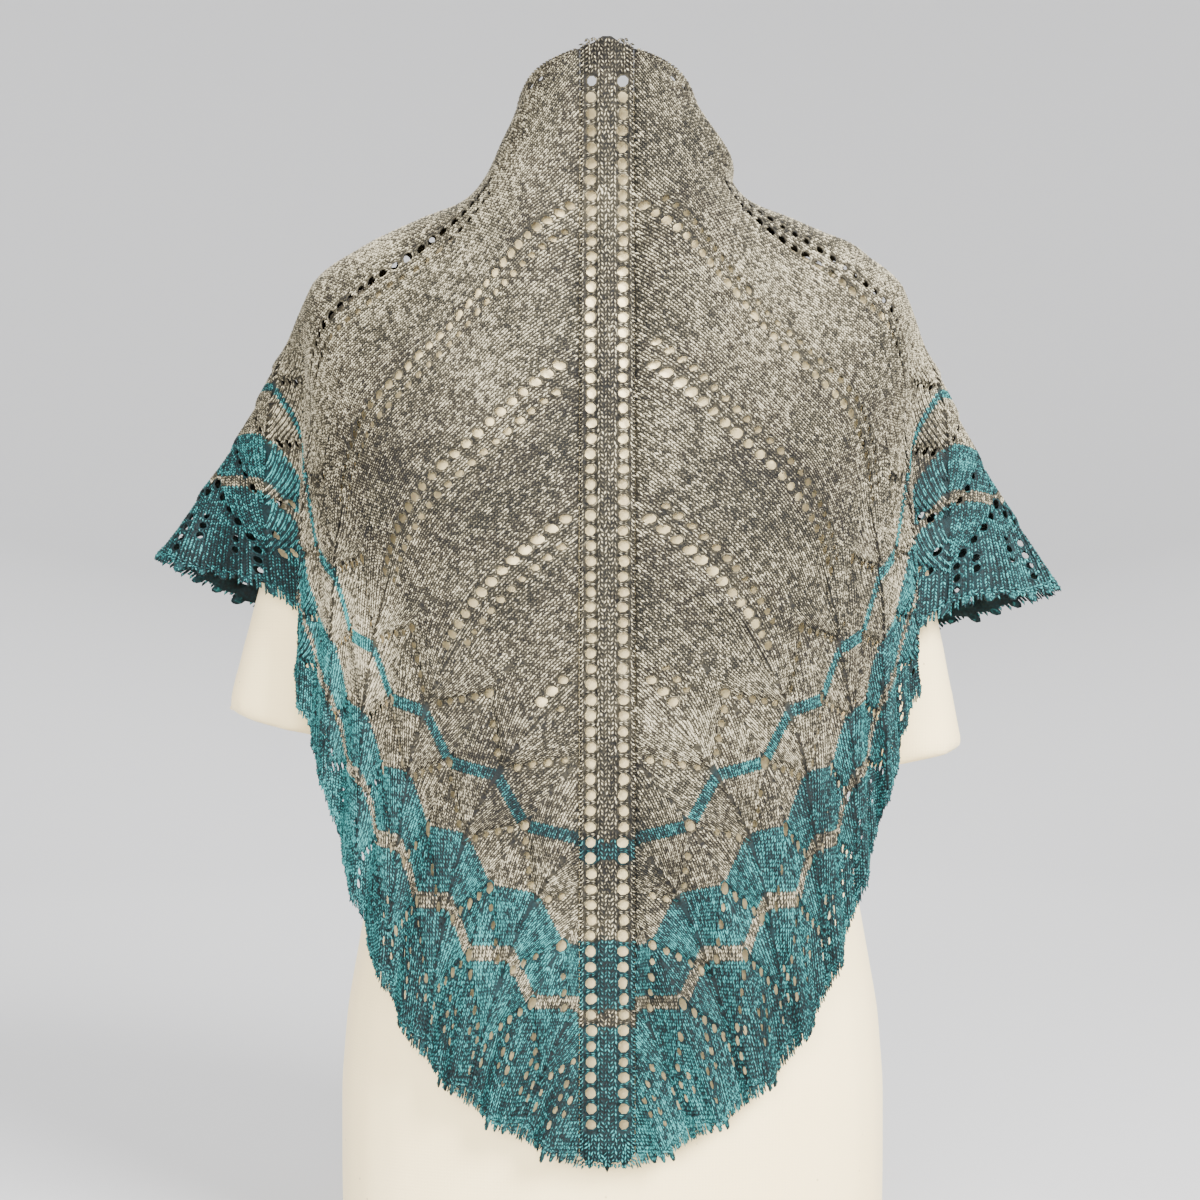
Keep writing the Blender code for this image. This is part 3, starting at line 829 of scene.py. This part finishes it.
def rims(name, places, sizes, frames_of, shift, mat, teal_of, flip, chance):
    """A strand round each eyelet; places and sizes are along the row and down the wale."""
    turns = 2 * math.pi * (np.arange(RING_STEPS) + 0.5) / RING_STEPS
    cos = np.cos(turns)
    sin = np.sin(turns)
    points = []
    for grow, lift in RING_RAILS:
        grow = grow + chance.uniform(-0.0003, 0.0003, (len(places), RING_STEPS))
        along = places[:, :1] + (sizes[:, :1] + grow) * sin
        below = places[:, 1:] + (sizes[:, 1:] + grow) * cos
        middle, wide, down, out = frames_of(along.ravel(), below.ravel())
        points.append((middle + shift + out * lift).reshape(len(places), RING_STEPS, 3))
    points = np.stack(points, 2)
    one = []
    for i in range(RING_STEPS):
        j = (i + 1) % RING_STEPS
        for k in (0, 1):
            a, b, c, d = 3 * i + k, 3 * j + k, 3 * j + k + 1, 3 * i + k + 1
            one += [(a, c, b), (a, d, c)]
    one = np.array(one)
    if flip:
        one = one[:, ::-1]
    faces = (one[None] + 3 * RING_STEPS * np.arange(len(places))[:, None, None]).reshape(-1, 3)
    painted_light_and_tones = chance.uniform(0.3, 0.7, (len(places), RING_STEPS, 1))
    # Random tone per corner, with painted shade on the strand's low inner and outer rails and its raised
    # top left lighter
    painted_light_and_tones = painted_light_and_tones + np.array([-0.45, -0.05, -0.35])
    tints = {"teal": np.repeat(teal_of(places), 3 * RING_STEPS), "tone_and_painted_light": painted_light_and_tones.ravel()}
    return quick_mesh(name, points.reshape(-1, 3), faces, mat, tints)


def marl(depth, at, chance):
    """Shade of each leg: streaks along the row, as two plies turn, and a little chance."""
    grid = chance.uniform(-1, 1, (400, 200))
    row = np.round(depth / ROW).astype(int) % 400
    place = (at + 0.8) / 0.009
    low = np.floor(place).astype(int)
    share = place - low
    streak = grid[row, low % 200] * (1 - share) + grid[row, (low + 1) % 200] * share
    fleck = chance.uniform(-0.30, 0.30, (len(depth), 2)).repeat(5, axis=1)
    return 0.47 + 0.14 * streak[:, None] + fleck


def mottle(count, low, high, chance):
    """Shade of every stitch's corners: each leg a little lighter or darker, plus painted shade and
    highlights.
    """
    fleck = chance.uniform(low, high, (count, 2)).repeat(5, axis=1)
    return (0.5 + fleck + np.tile(LEG_PAINTED_LIGHT, 2)).ravel()


def turned(frames, angle):
    """The same places with the wales turned by an angle, towards the row's own direction."""
    middle, wide, down, out = frames
    c = math.cos(angle)
    d = math.sin(angle)
    return middle, wide * c - down * d, down * c + wide * d, out


HALF_PIECES = (
    # name, from depth, to depth
    ("body", 0, BORDER_AT),
    ("leaves", BORDER_AT, EDGING_AT),
    ("edging", EDGING_AT, 1.1),
)


def half_knitting(word, side, eyelets, shift, mat, chance):
    """Every stitch of a half, in three pieces: body, leaf border and edging."""
    depth, at, low, lean, size = half_lattice().T
    keep = ~near_eyelets(low, at, eyelets) & (low < ROW_DEPTH + 0.003)
    depth, at, low, lean, size = (values[keep] for values in (depth, at, low, lean, size))
    v = depth / ROW_DEPTH
    step = 0.002
    slope = (row_rise(v, at + step) - row_rise(v, at - step)) / (2 * step)
    pieces = []
    for part_name, start, end in HALF_PIECES:
        pick = (v >= start) & (v < end)
        count = int(pick.sum())
        frames = half_frames(side, low[pick], at[pick])
        frames = (frames[0] + shift, *frames[1:])
        lifts = chance.uniform(0.85, 1.15, count)
        turn = (lean[pick], slope[pick])
        points = stitch_points(frames, turn, np.maximum(size[pick], 0.6), 1.0, lifts)
        # Marl streaks and flecks, plus painted shade on each leg's ends and sides and a painted
        # highlight on its top
        painted_light_and_tones = marl(depth[pick], at[pick], chance) + np.tile(LEG_PAINTED_LIGHT, 2)
        tints = {"teal": np.repeat(dye_of(v[pick]), 10), "tone_and_painted_light": painted_light_and_tones.ravel()}
        name = "stitches_%s_%s" % (part_name, word)
        faces = stitch_faces(count, side)
        pieces.append(quick_mesh(name, points.reshape(-1, 3), faces, mat, tints))
    return pieces


BAND_WALES = (
    # across the band, angle, size
    (-0.0163, -0.78, 1.0),
    (-0.0125, -0.4, 1.1),
    (-0.0085, 0.1, 1.1),
    (-0.0042, 0.2, 1.15),
    (0, 0, 1.1),
    (0.0042, -0.2, 1.15),
    (0.0085, -0.1, 1.1),
    (0.0125, 0.4, 1.1),
    (0.0163, 0.78, 1.0),
)
BAND_STRANDS = (-0.0122, -0.0088, 0.0088, 0.0122)


def band_knitting(shift, mat, chance):
    """Stitches of the spine band: upright between the eyelets, slanting beside them."""
    pitch = ROW * math.sqrt(2)
    meshes = []
    last = SPINE_FIRST + (SPINE_EYELETS - 1) * SPINE_PITCH
    for x, angle, size in BAND_WALES:
        downs = np.arange(0.0033 * (abs(x) > 0.016) - 0.0045, SPINE_LENGTH + 0.004, pitch)
        if 0.008 < abs(x) < 0.013:
            downs = downs[(downs < SPINE_FIRST - 0.0055) | (downs > last + 0.0055)]
        count = len(downs)
        aside = x + chance.normal(0, 0.0002, count)
        at = np.stack([aside, downs + chance.normal(0, 0.0003, count)], -1)
        if abs(x) < 0.01:
            at[::2, 0] += 0.0004 * (-1 if x < 0 else 1)
        middle, wide, down, out = turned(band_frames(at[:, 0], at[:, 1]), angle)
        lean = chance.normal(0, 0.15, count)
        lifts = chance.uniform(0.9, 1.35, count)
        points = stitch_points((middle + shift, wide, down, out), (lean, lean), size, size, lifts)
        teal = np.repeat(dye_of(at[:, 1] / SPINE_LENGTH), 10)
        meshes.append((points.reshape(-1, 3), mottle(count, -0.25, 0.25, chance), teal))
    gaps = SPINE_FIRST + (np.arange(SPINE_EYELETS - 1) + 0.5) * SPINE_PITCH
    for x in BAND_STRANDS:
        at = np.stack([x + 0 * gaps, gaps + chance.normal(0, 0.0003, len(gaps))], -1)
        frames = turned(band_frames(at[:, 0], at[:, 1]), 1.3 if x > 0 else -1.3)
        frames = (frames[0] + shift, *frames[1:])
        points = stitch_points(frames, (0 * gaps, 0 * gaps), 0.62, 1.1, 1.2 + 0 * gaps)
        teal = np.repeat(dye_of(gaps / SPINE_LENGTH), 10)
        meshes.append((points.reshape(-1, 3), mottle(len(gaps), -0.2, 0.3, chance), teal))
    points, painted_light_and_tones, teal = (np.concatenate(values) for values in zip(*meshes))
    faces = stitch_faces(len(points) // 10, -1)
    return quick_mesh("stitches_spine", points, faces, mat, {"teal": teal, "tone_and_painted_light": painted_light_and_tones})


def knobs(word, side, shift, mat, chance):
    """A rounded nub on each picot of the hem, closed with 5 steps of 8 corners."""
    rings = 5
    around = 8
    each = (rings + 1) * around
    points = []
    painted_light_and_tones = []
    teal = []
    for at, reach, length in picots():
        low = np.array([reach + 0.42 * length])
        middle, wide, down, out = (values[0] for values in half_frames(side, low, np.array([at])))
        tall = 0.62 * length * chance.uniform(0.9, 1.1)
        broad = 0.0025 * chance.uniform(0.85, 1.15)
        lean = chance.uniform(-0.35, 0.35)
        for k in range(rings + 1):
            a = math.pi * k / rings
            for i in range(around):
                b = 2 * math.pi * i / around
                below = -tall * math.cos(a)
                beside = broad * math.sin(a) * math.cos(b) + lean * below
                high = 0.0013 * math.sin(a) * math.sin(b)
                points.append(middle + shift + wide * beside + down * below + out * (high + 0.0004))
                painted_light_and_tones.append(chance.uniform(0.1, 0.75))
        teal += [float(dye_of(low / ROW_DEPTH)[0])] * each
    one = []
    for k in range(rings):
        for i in range(around):
            a = k * around + i
            b = k * around + (i + 1) % around
            one += [(a, b, b + around), (a, b + around, a + around)]
    one = np.array(one)
    if side > 0:
        one = one[:, ::-1]
    faces = (one[None] + each * np.arange(len(points) // each)[:, None, None]).reshape(-1, 3)
    tints = {"teal": teal, "tone_and_painted_light": painted_light_and_tones}
    made = quick_mesh("picots_" + word, np.array(points), faces, mat, tints)
    bm = bmesh.new()
    bm.from_mesh(made.data)
    bmesh.ops.remove_doubles(bm, verts=bm.verts, dist=0.000001)
    bmesh.ops.recalc_face_normals(bm, faces=bm.faces)
    bm.to_mesh(made.data)
    bm.free()
    return made


def edge_knitting(word, side, shift, mat, chance):
    """Bound-off chain and picots of the hem, and the firm edge along the top."""
    rows = []
    for at, reach, length in picots():
        for along, share, angle, size in PICOT_STITCHES:
            angle += chance.uniform(-0.3, 0.3)
            rows.append((reach + share * length, at + along / 1000, angle, size))
    for at in np.arange(-ROW_DEPTH + 0.010, ROW_DEPTH - 0.010, 0.0030):
        angle = math.pi / 2 + chance.uniform(-0.25, 0.25)
        rows.append((hem_reach(at) - 0.0018, at, angle, 1.0))
    for a in np.arange(0.004, SPINE_LENGTH - 0.004, 0.0029):
        for b, size in ((0.0014, 0.9), (0.0046, 0.85)):
            angle = math.pi / 4 + chance.uniform(-0.15, 0.15)
            rows.append(((a + b) / math.sqrt(2), (a - b) / math.sqrt(2), angle, size))
    rows = np.array(rows)
    middle, wide, down, out = half_frames(side, rows[:, 0], rows[:, 1])
    c = np.cos(rows[:, 2])[:, None]
    d = np.sin(rows[:, 2])[:, None]
    frames = (middle + shift + out * 0.0004, wide * c - down * d, down * c + wide * d, out)
    size = 1.1 * rows[:, 3]
    lifts = chance.uniform(1.0, 1.5, len(rows))
    points = stitch_points(frames, (0 * size, 0 * size), size, size, lifts)
    painted_light_and_tones = mottle(len(rows), -0.2, 0.25, chance)
    tints = {"teal": np.repeat(dye_of(rows[:, 0] / ROW_DEPTH), 10), "tone_and_painted_light": painted_light_and_tones}
    faces = stitch_faces(len(rows), side)
    return quick_mesh("edges_" + word, points.reshape(-1, 3), faces, mat, tints)


def linear(text):
    """Linear colour from an sRGB hex value."""
    parts = [int(text[i:i + 2], 16) / 255 for i in (0, 2, 4)]
    return (*[c / 12.92 if c <= 0.04045 else ((c + 0.055) / 1.055) ** 2.4 for c in parts], 1)


def add(tree, kind, settings=None, values=None, links=None):
    """A node with its settings, its socket values and the sockets that feed it."""
    made = tree.nodes.new(kind)
    for name, value in (settings or {}).items():
        setattr(made, name, value)
    for name, value in (values or {}).items():
        made.inputs[name].default_value = value
    for name, source in (links or {}).items():
        tree.links.new(source, made.inputs[name])
    return made


def new_material(name):
    """A new material, its node tree, its shader and its object coordinates."""
    mat = bpy.data.materials.new(name)
    mat.use_nodes = True
    tree = mat.node_tree
    place = add(tree, "ShaderNodeTexCoord").outputs["Object"]
    return mat, tree, tree.nodes["Principled BSDF"], place


YARN_DYES = (
    # dark, middle and light flecks, and the painted shade and highlights: grey, then teal
    ("0C0B08", "3A3527", "B3A98E"),
    ("010A0B", "062629", "3A8583"),
)


def yarn_material(name):
    """Silk and wool yarn of two plies, dyed grey and teal.

    The eye gets light and dark flecks where the plies turn, painted shade and highlights on
    the stitches, and a low sheen from the silk.
    """
    mat, tree, shader, place = new_material(name)
    teal = add(tree, "ShaderNodeAttribute", {"attribute_name": "teal"}).outputs["Fac"]
    tone_and_painted_light = add(tree, "ShaderNodeAttribute", {"attribute_name": "tone_and_painted_light"}).outputs["Fac"]
    # Flecks of 2 to 3 mm where the plies turn, and clouds of about 110 mm from the dye bath
    fleck = add(tree, "ShaderNodeTexNoise", None, {"Scale": 420, "Detail": 2}, {"Vector": place})
    cloud = add(tree, "ShaderNodeTexNoise", None, {"Scale": 9, "Detail": 2}, {"Vector": place})
    level = add(tree, "ShaderNodeMath", {"operation": "MULTIPLY_ADD"}, {1: 0.9, 2: -0.45},
                {0: fleck.outputs["Fac"]})
    # Adds the marl of each stitch and its painted shade and highlights, with the dark base cloth's
    # painted shade
    level = add(tree, "ShaderNodeMath", {"operation": "ADD"},
                links={0: level.outputs[0], 1: tone_and_painted_light})
    drift = add(tree, "ShaderNodeMath", {"operation": "MULTIPLY_ADD"}, {1: 0.9, 2: -0.45},
                {0: cloud.outputs["Fac"]})
    level = add(tree, "ShaderNodeMath", {"operation": "ADD"},
                links={0: level.outputs[0], 1: drift.outputs[0]})
    dyes = []
    for low, middle, high in YARN_DYES:
        ramp = add(tree, "ShaderNodeValToRGB", links={"Fac": level.outputs[0]})
        ramp.color_ramp.elements[0].color = linear(low)
        ramp.color_ramp.elements[1].color = linear(high)
        ramp.color_ramp.elements.new(0.5).color = linear(middle)
        dyes.append(ramp.outputs["Color"])
    colour = add(tree, "ShaderNodeMix", {"data_type": "RGBA"},
                 links={0: teal, 6: dyes[0], 7: dyes[1]})
    tree.links.new(colour.outputs[2], shader.inputs["Base Color"])
    shader.inputs["Roughness"].default_value = 0.7
    shader.inputs["Sheen Weight"].default_value = 0.03
    shader.inputs["Sheen Roughness"].default_value = 0.4
    shader.inputs["Specular IOR Level"].default_value = 0.2
    # Fibres of the plies, about 1 mm apart
    ply = add(tree, "ShaderNodeTexNoise", None, {"Scale": 900, "Detail": 1}, {"Vector": place})
    bump = add(tree, "ShaderNodeBump", None, {"Strength": 0.35, "Distance": 0.0004},
               {"Height": ply.outputs["Fac"]})
    tree.links.new(bump.outputs["Normal"], shader.inputs["Normal"])
    return mat


def calico_material(name):
    """Unbleached calico, a plain cotton weave: matt cream with darker seed flecks."""
    mat, tree, shader, place = new_material(name)
    cloud = add(tree, "ShaderNodeTexNoise", None, {"Scale": 7, "Detail": 3}, {"Vector": place})
    # Seed flecks about 1.5 mm wide, 18 mm apart
    seeds = add(tree, "ShaderNodeTexVoronoi", None, {"Scale": 55}, {"Vector": place})
    seed = add(tree, "ShaderNodeMapRange", None,
               {"From Min": 0.03, "From Max": 0.06, "To Min": 0.5, "To Max": 0},
               {"Value": seeds.outputs["Distance"]})
    cream = add(tree, "ShaderNodeMix", {"data_type": "RGBA"}, {6: linear("FCE8B4"), 7: linear("F8DEA2")},
                {0: cloud.outputs["Fac"]})
    colour = add(tree, "ShaderNodeMix", {"data_type": "RGBA"}, {7: linear("A98F68")},
                 {0: seed.outputs["Result"], 6: cream.outputs[2]})
    tree.links.new(colour.outputs[2], shader.inputs["Base Color"])
    shader.inputs["Roughness"].default_value = 0.85
    shader.inputs["Sheen Weight"].default_value = 0.15
    # Threads are 0.45 mm apart, drawn at 2.2 mm so that the weave shows
    threads = {"Scale": 900 / 2 / math.pi, "Distortion": 1.5}
    warp = add(tree, "ShaderNodeTexWave", {"bands_direction": "X"}, threads, {"Vector": place})
    weft = add(tree, "ShaderNodeTexWave", {"bands_direction": "Z"}, threads, {"Vector": place})
    weave = add(tree, "ShaderNodeMath", {"operation": "MULTIPLY"},
                links={0: warp.outputs["Fac"], 1: weft.outputs["Fac"]})
    bump = add(tree, "ShaderNodeBump", None, {"Strength": 0.25, "Distance": 0.0004},
               {"Height": weave.outputs[0]})
    tree.links.new(bump.outputs["Normal"], shader.inputs["Normal"])
    return mat


def smooth_form(mat):
    """The dress form's cover: a rounded copy of the solid."""
    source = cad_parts["dress_form"]
    mesh = source.data.copy()
    made = bpy.data.objects.new("form_cover", mesh)
    bpy.context.scene.collection.objects.link(made)
    bm = bmesh.new()
    bm.from_mesh(mesh)
    bmesh.ops.remove_doubles(bm, verts=bm.verts, dist=0.00005)
    bm.to_mesh(mesh)
    bm.free()
    bpy.context.view_layer.objects.active = made
    made.select_set(True)
    remesh = made.modifiers.new("even", "REMESH")
    remesh.mode = "VOXEL"
    remesh.voxel_size = 0.006
    bpy.ops.object.modifier_apply(modifier="even")
    points = np.empty(3 * len(mesh.vertices))
    made.data.vertices.foreach_get("co", points)
    points = points.reshape(-1, 3)
    base = points[:, 2] < 0.004
    relax = made.modifiers.new("relax", "SMOOTH")
    relax.factor = 0.5
    relax.iterations = 10
    bpy.ops.object.modifier_apply(modifier="relax")
    smooth = np.empty(3 * len(made.data.vertices))
    made.data.vertices.foreach_get("co", smooth)
    smooth = smooth.reshape(-1, 3)
    smooth[base] = points[base]
    made.data.vertices.foreach_set("co", smooth.ravel())
    made.data.materials.clear()
    made.data.materials.append(mat)
    made.data.shade_smooth()
    return made


LIGHTS = (
    # name, place, size, watts
    ("key", (1.7, -2.5, 2.2), (1.3, 1.3), 430),
    ("fill", (-0.6, -3.3, 0.8), (2.0, 2.0), 330),
    ("top", (0.2, 0.6, 3.0), (2.0, 2.0), 80),
    ("back", (0.0, 3.0, 1.8), (2.4, 1.6), 110),
)
AROUND = 96
FLOOR_RADIUS = 2.6
COVE = 1.4
WALL_TOP = 4.5


def studio():
    """Pale round floor that curves up into a wall, and soft lights."""
    # Matt emulsion paint: an even pale grey with no gloss
    mat = bpy.data.materials.new("pale_floor")
    mat.use_nodes = True
    shader = mat.node_tree.nodes["Principled BSDF"]
    shader.inputs["Base Color"].default_value = linear("B0B0B1")
    shader.inputs["Roughness"].default_value = 0.95
    profile = [(0.01, 0.0), (FLOOR_RADIUS, 0.0)]
    for i in range(1, 13):
        a = i * math.pi / 24
        profile.append((FLOOR_RADIUS + COVE * math.sin(a), COVE - COVE * math.cos(a)))
    profile.append((FLOOR_RADIUS + COVE, WALL_TOP))
    turns = [2 * math.pi * i / AROUND for i in range(AROUND)]
    points = [(r * math.cos(a), r * math.sin(a), z) for r, z in profile for a in turns]
    faces = []
    for k in range(len(profile) - 1):
        for i in range(AROUND):
            j = (i + 1) % AROUND
            low = AROUND * k
            high = low + AROUND
            faces.append((high + i, high + j, low + j, low + i))
    faces.append(tuple(range(AROUND)))
    mesh = bpy.data.meshes.new("floor")
    mesh.from_pydata(points, [], faces)
    mesh.shade_smooth()
    floor = bpy.data.objects.new("floor", mesh)
    bpy.context.scene.collection.objects.link(floor)
    floor.data.materials.append(mat)
    world = bpy.data.worlds.new("studio")
    bpy.context.scene.world = world
    world.use_nodes = True
    sky = world.node_tree.nodes["Background"]
    sky.inputs["Color"].default_value = linear("D2D2D2")
    sky.inputs["Strength"].default_value = 1.15
    for name, place, size, power in LIGHTS:
        data = bpy.data.lights.new(name, "AREA")
        data.shape = "RECTANGLE"
        data.size, data.size_y = size
        data.energy = power
        lamp = bpy.data.objects.new(name, data)
        lamp.location = place
        lamp.visible_camera = False
        aim = Vector((0, 0, 0.5)) - Vector(place)
        lamp.rotation_euler = aim.to_track_quat("-Z", "Y").to_euler()
        bpy.context.scene.collection.objects.link(lamp)


def camera(shift):
    """Level view of the back: 0.780 m is seen across at 1.700 m."""
    data = bpy.data.cameras.new("camera")
    data.sensor_width = 36
    data.lens = 36 * 1.700 / 0.780
    seen = bpy.data.objects.new("camera", data)
    seen.location = (-0.0046 + shift[0], -1.810 + shift[1], 0.4485)
    seen.rotation_euler = (math.pi / 2, 0, 0)
    bpy.context.scene.collection.objects.link(seen)
    bpy.context.scene.camera = seen


def main():
    """Builds the two halves, the spine band, the form's cover and the studio."""
    shift = shift_to_frame()
    yarn = yarn_material("marled_silk_and_wool")
    calico = calico_material("unbleached_calico_cover")
    chance = np.random.default_rng(7)
    cloths = []
    for word, side in (("left", -1), ("right", 1)):
        eyelets = half_eyelets(side)
        cloth = half_cloth(word, side, eyelets, shift, yarn)
        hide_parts("body_" + word, "leaf_border_" + word, "edging_" + word)
        pieces = half_knitting(word, side, eyelets, shift, yarn, chance)
        places = np.array([(e[1], e[0]) for e in eyelets])
        sizes = np.array([(e[2], e[3]) for e in eyelets])
        pieces.append(rims("rims_" + word, places, sizes,
                           lambda a, r, s=side: half_frames(s, r, a), shift, yarn,
                           lambda at: dye_of(at[:, 1] / ROW_DEPTH), side > 0, chance))
        pieces.append(edge_knitting(word, side, shift, yarn, chance))
        pieces.append(knobs(word, side, shift, yarn, chance))
        cloths.append((cloth, pieces, sum(math.pi * e[2] * e[3] for e in eyelets)))
    spine = band_cloth(shift, yarn)
    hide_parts("spine_panel")
    pieces = [band_knitting(shift, yarn, chance)]
    rows = np.array(band_eyelets())
    pieces.append(rims("rims_spine", rows[:, :2], rows[:, 2:], band_frames, shift, yarn,
                       lambda at: dye_of(at[:, 1] / SPINE_LENGTH), False, chance))
    for cloth, knitting, open_area in cloths:
        for piece in [cloth, *knitting]:
            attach(piece, "root")
    for piece in [spine, *pieces]:
        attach(piece, "root")
    form = smooth_form(calico)
    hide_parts("dress_form")
    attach(form, "root")
    studio()
    camera(shift)


main()
